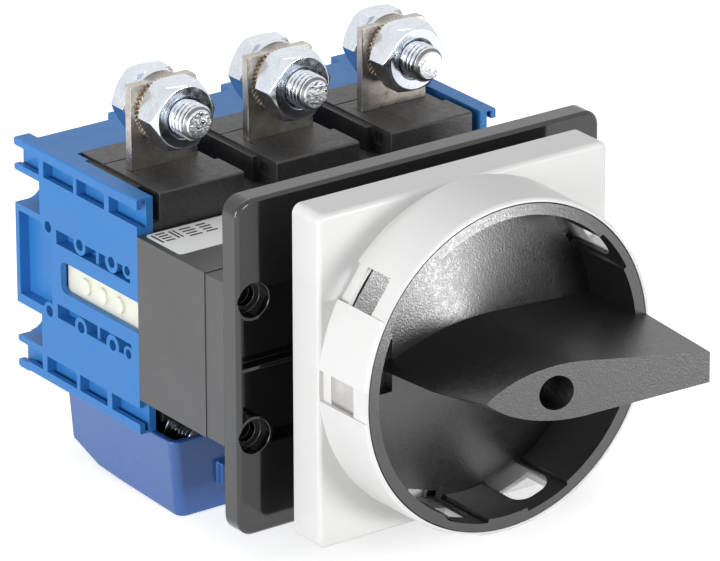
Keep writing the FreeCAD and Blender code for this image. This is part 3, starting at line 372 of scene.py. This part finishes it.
def join_meshes(name, parts):
    """One mesh from several (mesh, offset in mm, material index) parts."""
    work = bmesh.new()
    for mesh, offset, index in parts:
        start = len(work.verts)
        start_face = len(work.faces)
        work.from_mesh(mesh)
        work.verts.ensure_lookup_table()
        work.faces.ensure_lookup_table()
        shift = Vector(offset) * MM
        for vert in work.verts[start:]:
            vert.co += shift
        for face in work.faces[start_face:]:
            face.material_index = index
    bmesh.ops.recalc_face_normals(work, faces=work.faces)
    joined = bpy.data.meshes.new(name)
    work.to_mesh(joined)
    work.free()
    return joined


# Fasteners

POLES = (-35.5, 0.0, 35.5)
ACROSS = 16.9
FACE_SHARE = 0.955
CHAMFER_DROP = 0.85
HEAD_HEIGHT = 6.4
NUT_BORE = 4.85
BORE_CHAMFER = 0.75
WASHER_BORE = 5.25
WASHER_EDGE = 0.15
THREAD_MAJOR, THREAD_MINOR, THREAD_POINT = 4.78, 3.85, 3.4
THREAD_PITCH = 1.5
POINT_LENGTH = 1.4
STEPS_PER_TURN = 14
ROOT_SHARE, FLANK_SHARE = 0.10, 0.72
THREAD_OVERLAP, SHANK_OVERLAP, HEAD_OVERLAP = 1.0, 0.6, 0.2
# How far out from the thread's point radius the painted groove shade begins.
GROOVE_SHADE_MARGIN = 0.3
TEETH = 44
TOOTH = 0.5
TOOTH_TIP = 0.35
TOOTH_SLOPE = 0.1
TOOTH_ROOT = 0.2


def span(name):
    """Lowest and highest corner of a CAD node's box, in millimetres."""
    place = nodes[name].matrix_world
    points = [place @ vert.co for vert in nodes[name].data.vertices]
    low = [min(point[axis] for point in points) / MM for axis in range(3)]
    high = [max(point[axis] for point in points) / MM for axis in range(3)]
    return low, high


def hex_radius(angle):
    """Distance from the middle to a hexagon's side with corners at 0, 60, 120 degrees."""
    inside = (angle % (math.pi / 3)) - math.pi / 6
    return ACROSS / 2 / math.cos(inside)


def hexagon_mesh(name, y0, y1, hole, chamfer_front, chamfer_rear):
    """Hexagon nut or bolt head between two faces, its chamfer cones cut into the corners."""
    count = 144
    turn = 2 * math.pi / count
    face_radius = ACROSS / 2 * FACE_SHARE
    angles = [i * turn for i in range(count)]

    def drop(angle, chamfered):
        return (hex_radius(angle) - face_radius) * CHAMFER_DROP if chamfered else 0.0

    def ring(radius, y):
        return [(radius * math.cos(a), y, radius * math.sin(a)) for a in angles]

    front = [(hex_radius(a) * math.cos(a), y0 + drop(a, chamfer_front), hex_radius(a) * math.sin(a))
             for a in angles]
    rear = [(hex_radius(a) * math.cos(a), y1 - drop(a, chamfer_rear), hex_radius(a) * math.sin(a))
            for a in angles]
    rings = []
    if hole:
        rings += [
            ring(hole, (y0 + y1) / 2), ring(hole, y0 + BORE_CHAMFER), ring(hole + BORE_CHAMFER, y0),
        ]
    rings += [ring(face_radius, y0), front, rear, ring(face_radius, y1)]
    if hole:
        rings += [ring(hole + BORE_CHAMFER, y1), ring(hole, y1 - BORE_CHAMFER)]
    return rings_to_mesh(name, rings, (not hole, not hole))


def thread_mesh(name, y0, y1):
    """Threaded end of a bolt from its point at y0 to y1, with a worn crest."""
    major, minor = THREAD_MAJOR, THREAD_MINOR
    count = 72
    steps = int((y1 - y0) / THREAD_PITCH * STEPS_PER_TURN)
    rings = []
    for step in range(steps + 1):
        y = y0 + (y1 - y0) * step / steps
        ring = []
        for i in range(count):
            angle = 2 * math.pi * i / count
            phase = ((y - y0) / THREAD_PITCH + i / count) % 1.0
            wave = abs(phase - 0.5) * 2.0
            wave = min(1.0, max(0.0, (wave - ROOT_SHARE) / FLANK_SHARE))
            radius = minor + (major - minor) * wave
            fade = min(1.0, (y - y0) / POINT_LENGTH)
            limit = THREAD_POINT + (major - THREAD_POINT) * fade
            radius = min(radius, limit)
            ring.append((radius * math.cos(angle), y, radius * math.sin(angle)))
        rings.append(ring)
    return rings_to_mesh(name, rings)


def bolt_end_mesh(name, y0, radius):
    """Small end face of a bolt, a little hollow as it was sheared."""
    hollow = ((1.0, 0.0), (0.62, 0.06), (0.25, 0.1))
    rings = [circle(radius * share, y0 + depth, 72) for share, depth in hollow]
    return rings_to_mesh(name, rings, (False, True))


def serrated_mesh(name, y0, y1, inner, outer, teeth, depth):
    """Toothed lock washer whose teeth slope down to both faces."""
    count = teeth * 4
    profile = []
    for i in range(count):
        angle = 2 * math.pi * i / count
        radius = outer if i % 4 in (0, 1) else outer - depth
        profile.append((angle, radius))

    def ring(radius_of, y):
        return [(radius_of(r) * math.cos(a), y, radius_of(r) * math.sin(a)) for a, r in profile]

    middle = (y0 + y1) / 2
    root = outer - depth - TOOTH_ROOT
    rings = [
        ring(lambda r: inner, y1), ring(lambda r: inner, y0), ring(lambda r: root, y0 + TOOTH_SLOPE),
        ring(lambda r: r, middle - TOOTH_TIP), ring(lambda r: r, middle + TOOTH_TIP),
        ring(lambda r: root, y1 - TOOTH_SLOPE), ring(lambda r: inner, y1),
    ]
    return rings_to_mesh(name, rings)


def paint_shade_in_grooves(mesh, height, rear):
    """Third material, a darker metal that is painted shade, on the faces that lie deep in the thread."""
    for polygon in mesh.polygons:
        centre = polygon.center
        x = min((centre.x - pole * MM for pole in POLES), key=abs)
        radius = math.hypot(x, centre.z - height * MM) / MM
        if centre.y < rear and polygon.material_index == 0 and abs(polygon.normal.y) < 0.99:
            if THREAD_POINT + GROOVE_SHADE_MARGIN < radius < (THREAD_MAJOR + THREAD_MINOR) / 2:
                polygon.material_index = 2


def washer_mesh(name, y0, y1, outer):
    """Plain washer with lightly broken edges."""
    edge = WASHER_EDGE
    return rings_to_mesh(name, [
        circle(WASHER_BORE, y1), circle(WASHER_BORE, y0), circle(outer - edge, y0), circle(outer, y0 + edge),
        circle(outer, y1 - edge), circle(outer - edge, y1), circle(WASHER_BORE, y1),
    ])


def fasteners(side):
    """Bolts, nuts and washers of one row of terminals, each row as one piece per kind."""
    bolt_low, bolt_high = span(f"{side}_bolts")
    nut_low, nut_high = span(f"{side}_nuts")
    lock_low, lock_high = span(f"{side}_lock_washers")
    flat_low, flat_high = span(f"{side}_flat_washers")
    height = (nut_low[2] + nut_high[2]) / 2
    head = hexagon_mesh("head", bolt_high[1] - HEAD_HEIGHT, bolt_high[1], 0, False, True)
    thread = thread_mesh("thread", bolt_low[1], nut_low[1] + THREAD_OVERLAP)
    shank = rings_to_mesh("shank", [
        circle(THREAD_MAJOR, nut_low[1] + SHANK_OVERLAP, 48),
        circle(THREAD_MAJOR, bolt_high[1] - HEAD_HEIGHT + HEAD_OVERLAP, 48),
    ])
    lock_radius = (lock_high[2] - lock_low[2]) / 2
    flat_radius = (flat_high[2] - flat_low[2]) / 2
    bolts, nuts, locks, flats = [], [], [], []
    for x in POLES:
        place = (x, 0, height)
        end = bolt_end_mesh("end", bolt_low[1], THREAD_POINT)
        bolts += [(head, place, 0), (thread, place, 0), (shank, place, 0), (end, place, 1)]
        nuts.append((hexagon_mesh("nut", nut_low[1], nut_high[1], NUT_BORE, True, True), place, 0))
        lock = serrated_mesh("lock", lock_low[1], lock_high[1], WASHER_BORE, lock_radius, TEETH, TOOTH)
        locks.append((lock, place, 0))
        flats.append((washer_mesh("flat", flat_low[1], flat_high[1], flat_radius), place, 0))
    for name, parts, look, width in (
        ("bolts", bolts, "zinc zinc_rough groove", 0.00012), ("nuts", nuts, "zinc", 0.00014),
        ("lock_washers", locks, "washer", 0.0), ("flat_washers", flats, "zinc", 0.0),
    ):
        mesh = join_meshes(f"{side}_{name}_look", parts)
        # The faces deep in the bolts' thread get the darker metal: painted shade in the grooves.
        if name == "bolts":
            paint_shade_in_grooves(mesh, height, nut_low[1] * MM)
        smooth_mesh(mesh, FASTENER_ANGLE)
        piece = link(f"{side}_{name}_look", mesh, look, replaced=(f"{side}_{name}",))
        if width:
            soften(piece, width, FASTENER_ANGLE)


fasteners("line")
fasteners("load")


# Pieces that keep their CAD shape, with softened edges

LOOKS = {
    "contact_housing": ("blue", 0.00018),
    "terminal_cover": ("cover", 0.00035),
    "mechanism_housing": ("box", 0.0003),
    "mechanism_cover": ("box", 0.0003),
    "mounting_frame": ("gloss", 0.00025),
    "escutcheon": ("grey", 0.0),
    "escutcheon_screws": ("zinc", 0.0001),
    "locking_strip": ("steel", 0.0001),
    "locking_ring": ("steel", 0.0001),
    "handle": ("handle", 0.00035),
    "handle_screw": ("zinc", 0.0001),
    "handle_washer": ("zinc", 0.0001),
    "drive_shaft": ("steel", 0.0002),
    "shaft_bush": ("nylon", 0.0002),
    "detent_disc": ("nylon", 0.0002),
    "detent_springs": ("steel", 0.0),
    "barrel_cam": ("nylon", 0.0002),
    "contact_carrier": ("nylon", 0.0003),
    "follower_pins": ("steel", 0.0001),
    "arc_plates": ("steel", 0.0),
    "fixed_tips": ("silver", 0.0001),
}
for index in (1, 2, 3):
    LOOKS[f"line_cap_{index}"] = ("cap", 0.0004)
    LOOKS[f"load_cap_{index}"] = ("cap", 0.0004)
    LOOKS[f"line_terminal_{index}"] = ("tin", 0.0002)
    LOOKS[f"load_terminal_{index}"] = ("tin", 0.0002)
    LOOKS[f"contact_bridge_{index}"] = ("copper", 0.0002)
    LOOKS[f"moving_tips_{index}"] = ("silver", 0.0001)
    LOOKS[f"contact_spring_{index}"] = ("steel", 0.0)

pieces = {name: dressed(name, look, width) for name, (look, width) in LOOKS.items()}


# Finishes of single pieces, and own meshes for the contact springs

PLANE_TOLERANCE, RIM_TOLERANCE = 0.00001, 0.0002


def round_ring_front(piece, width):
    """Broad rounding on the outer front edge of the escutcheon's ring."""
    mesh = piece.data
    front = min(vert.co.y for vert in mesh.vertices)
    on_front = [vert.co for vert in mesh.vertices if vert.co.y < front + PLANE_TOLERANCE]
    rim = max(math.hypot(place.x, place.z) for place in on_front)

    def on_rim(index):
        place = mesh.vertices[index].co
        return place.y < front + PLANE_TOLERANCE and math.hypot(place.x, place.z) > rim - RIM_TOLERANCE

    weights = mesh.attributes.new("bevel_weight_edge", "FLOAT", "EDGE")
    for edge in mesh.edges:
        if all(on_rim(index) for index in edge.vertices):
            weights.data[edge.index].value = 1.0
    modifier = piece.modifiers.new("ring_front", "BEVEL")
    modifier.limit_method = "WEIGHT"
    modifier.width = width
    modifier.segments = 5
    modifier.use_clamp_overlap = False


def crown_handle(piece):
    """Gives the bowl's floor and the rim, which face forward, their slightly crowned finish."""
    mesh = piece.data
    mesh.materials.append(MATERIALS["crowned"])
    for polygon in mesh.polygons:
        if polygon.normal.y < -0.999:
            polygon.material_index = 1


def squeeze_spring(index):
    """Gives a contact spring its own copy of its mesh."""
    name = f"contact_spring_{index}"
    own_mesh(pieces[name])


for index in (1, 2, 3):
    squeeze_spring(index)
crown_handle(pieces["handle"])
round_ring_front(pieces["escutcheon"], 0.00085)
soften(pieces["escutcheon"], 0.00035)


# Label on the box

def rounded_sheet(name, x0, x1, y0, y1, z0, z1, corner):
    """Thin sheet with rounded corners, in millimetres."""
    outline = []
    for cx, cy, start in ((x1 - corner, y1 - corner, 0), (x0 + corner, y1 - corner, 90),
                          (x0 + corner, y0 + corner, 180), (x1 - corner, y0 + corner, 270)):
        for step in range(7):
            angle = math.radians(start + 15 * step)
            outline.append((cx + corner * math.cos(angle), cy + corner * math.sin(angle)))
    rings = [[(x, y, z) for x, y in outline] for z in (z0, z1)]
    return rings_to_mesh(name, rings, (True, True))


BOX_TOP = span("mechanism_housing")[1][2]
PAPER_THICKNESS, INK_THICKNESS = 0.08, 0.015
PAPER_CORNER, BAR_CORNER = 1.2, 0.1
PAPER_TOP = BOX_TOP + PAPER_THICKNESS
LABEL_X = (-53.6, -20.0)
LABEL_Y = (23.0, 38.6)

label = rounded_sheet("label", *LABEL_X, *LABEL_Y, BOX_TOP, PAPER_TOP, PAPER_CORNER)
smooth_mesh(label, SHEET_ANGLE)
link("label", label, "paper", body="switch_base")


def bar(x, y, width, depth):
    """Plain printed bar, placed from the label's left front corner."""
    left, front = LABEL_X[0] + x, LABEL_Y[0] + y
    return rounded_sheet("mark", left, left + width, front, front + depth,
                         PAPER_TOP, PAPER_TOP + INK_THICKNESS, BAR_CORNER)


marks = [bar(1.0, 9.0, 0.6, 5.6), bar(6.0, 9.4, 0.6, 5.0), bar(7.2, 9.4, 0.5, 5.0)]
for row in range(4):
    marks.append(bar(2.3, 9.2 + 1.6 * row, 2.8, 0.7))
    marks.append(bar(9.0, 8.6 + 1.6 * row, 3.8 - 0.5 * (row % 2), 0.7))
    marks.append(bar(14.0, 8.6 + 1.6 * row, 3.4 - 0.6 * (row % 2), 0.7))
bars = join_meshes("label_marks", [(mark, (0, 0, 0), 0) for mark in marks])
smooth_mesh(bars, SHEET_ANGLE)
link("label_marks", bars, "ink", body="switch_base")


# Floor, backdrop and light

FLOOR_HALF, FLOOR_DROP = 3.0, 0.0002
FLOOR_COLOUR, FLOOR_LIFT = (0.8, 0.8, 0.8), 0.6
SOFT_COLOUR, SOFT_STRENGTH = (0.97, 0.98, 1.0), 0.42


def seen_directly(tree):
    """1 for camera, glossy and transmission rays, which are to see the white background."""
    path = node(tree, "ShaderNodeLightPath")
    first = node(tree, "ShaderNodeMath", operation="MAXIMUM")
    second = node(tree, "ShaderNodeMath", operation="MAXIMUM")
    tree.links.new(path.outputs["Is Camera Ray"], first.inputs[0])
    tree.links.new(path.outputs["Is Glossy Ray"], first.inputs[1])
    tree.links.new(first.outputs[0], second.inputs[0])
    tree.links.new(path.outputs["Is Transmission Ray"], second.inputs[1])
    return second.outputs[0]


def floor_material(colour, lift):
    """Pale floor that keeps a faint shadow, lifted to white for the rays that see the background."""
    made = bpy.data.materials.new("floor")
    made.use_nodes = True
    tree = made.node_tree
    tree.nodes.clear()
    output = node(tree, "ShaderNodeOutputMaterial")
    plain = node(tree, "ShaderNodeBsdfDiffuse", Color=(*colour, 1.0))
    white = node(tree, "ShaderNodeEmission", Color=(1, 1, 1, 1))
    strength = node(tree, "ShaderNodeMath", operation="MULTIPLY")
    strength.inputs[1].default_value = lift
    both = node(tree, "ShaderNodeAddShader")
    tree.links.new(seen_directly(tree), strength.inputs[0])
    tree.links.new(strength.outputs[0], white.inputs["Strength"])
    tree.links.new(plain.outputs[0], both.inputs[0])
    tree.links.new(white.outputs[0], both.inputs[1])
    tree.links.new(both.outputs[0], output.inputs["Surface"])
    return made


def make_floor():
    half = FLOOR_HALF
    corners = [(-half, -half, 0), (half, -half, 0), (half, half, 0), (-half, half, 0)]
    mesh = mesh_from("floor", corners, [(0, 1, 2, 3)])
    mesh.materials.append(floor_material(FLOOR_COLOUR, FLOOR_LIFT))
    floor = bpy.data.objects.new("floor", mesh)
    floor.location.z = cad_box[0][2] - FLOOR_DROP
    scene.collection.objects.link(floor)


def make_world():
    world = bpy.data.worlds.new("studio")
    world.use_nodes = True
    tree = world.node_tree
    tree.nodes.clear()
    output = node(tree, "ShaderNodeOutputWorld")
    soft = node(tree, "ShaderNodeBackground", Color=(*SOFT_COLOUR, 1.0), Strength=SOFT_STRENGTH)
    white = node(tree, "ShaderNodeBackground", Color=(1, 1, 1, 1), Strength=1.0)
    mix = node(tree, "ShaderNodeMixShader")
    tree.links.new(seen_directly(tree), mix.inputs[0])
    tree.links.new(soft.outputs[0], mix.inputs[1])
    tree.links.new(white.outputs[0], mix.inputs[2])
    tree.links.new(mix.outputs[0], output.inputs["Surface"])
    scene.world = world


def area_light(name, place, target, size, power):
    data = bpy.data.lights.new(name, "AREA")
    data.shape = "RECTANGLE"
    data.size, data.size_y = size
    data.energy = power
    light = bpy.data.objects.new(name, data)
    place, target = Vector(place), Vector(target)
    light.location = place
    light.rotation_euler = (place - target).to_track_quat("Z", "Y").to_euler()
    scene.collection.objects.link(light)


make_floor()
make_world()
area_light("left_softbox", (-0.95, -0.22, 0.12), (0.0, 0.02, 0.0), (0.7, 0.6), 11.4)
area_light("top_softbox", (0.05, 0.25, 0.95), (0.0, 0.02, 0.0), (0.9, 0.7), 2.9)
area_light("right_front_softbox", (0.28, -0.72, -0.002), (0.0, -0.02, 0.0), (0.30, 0.09), 3.8)

scene.view_settings.view_transform = "Standard"
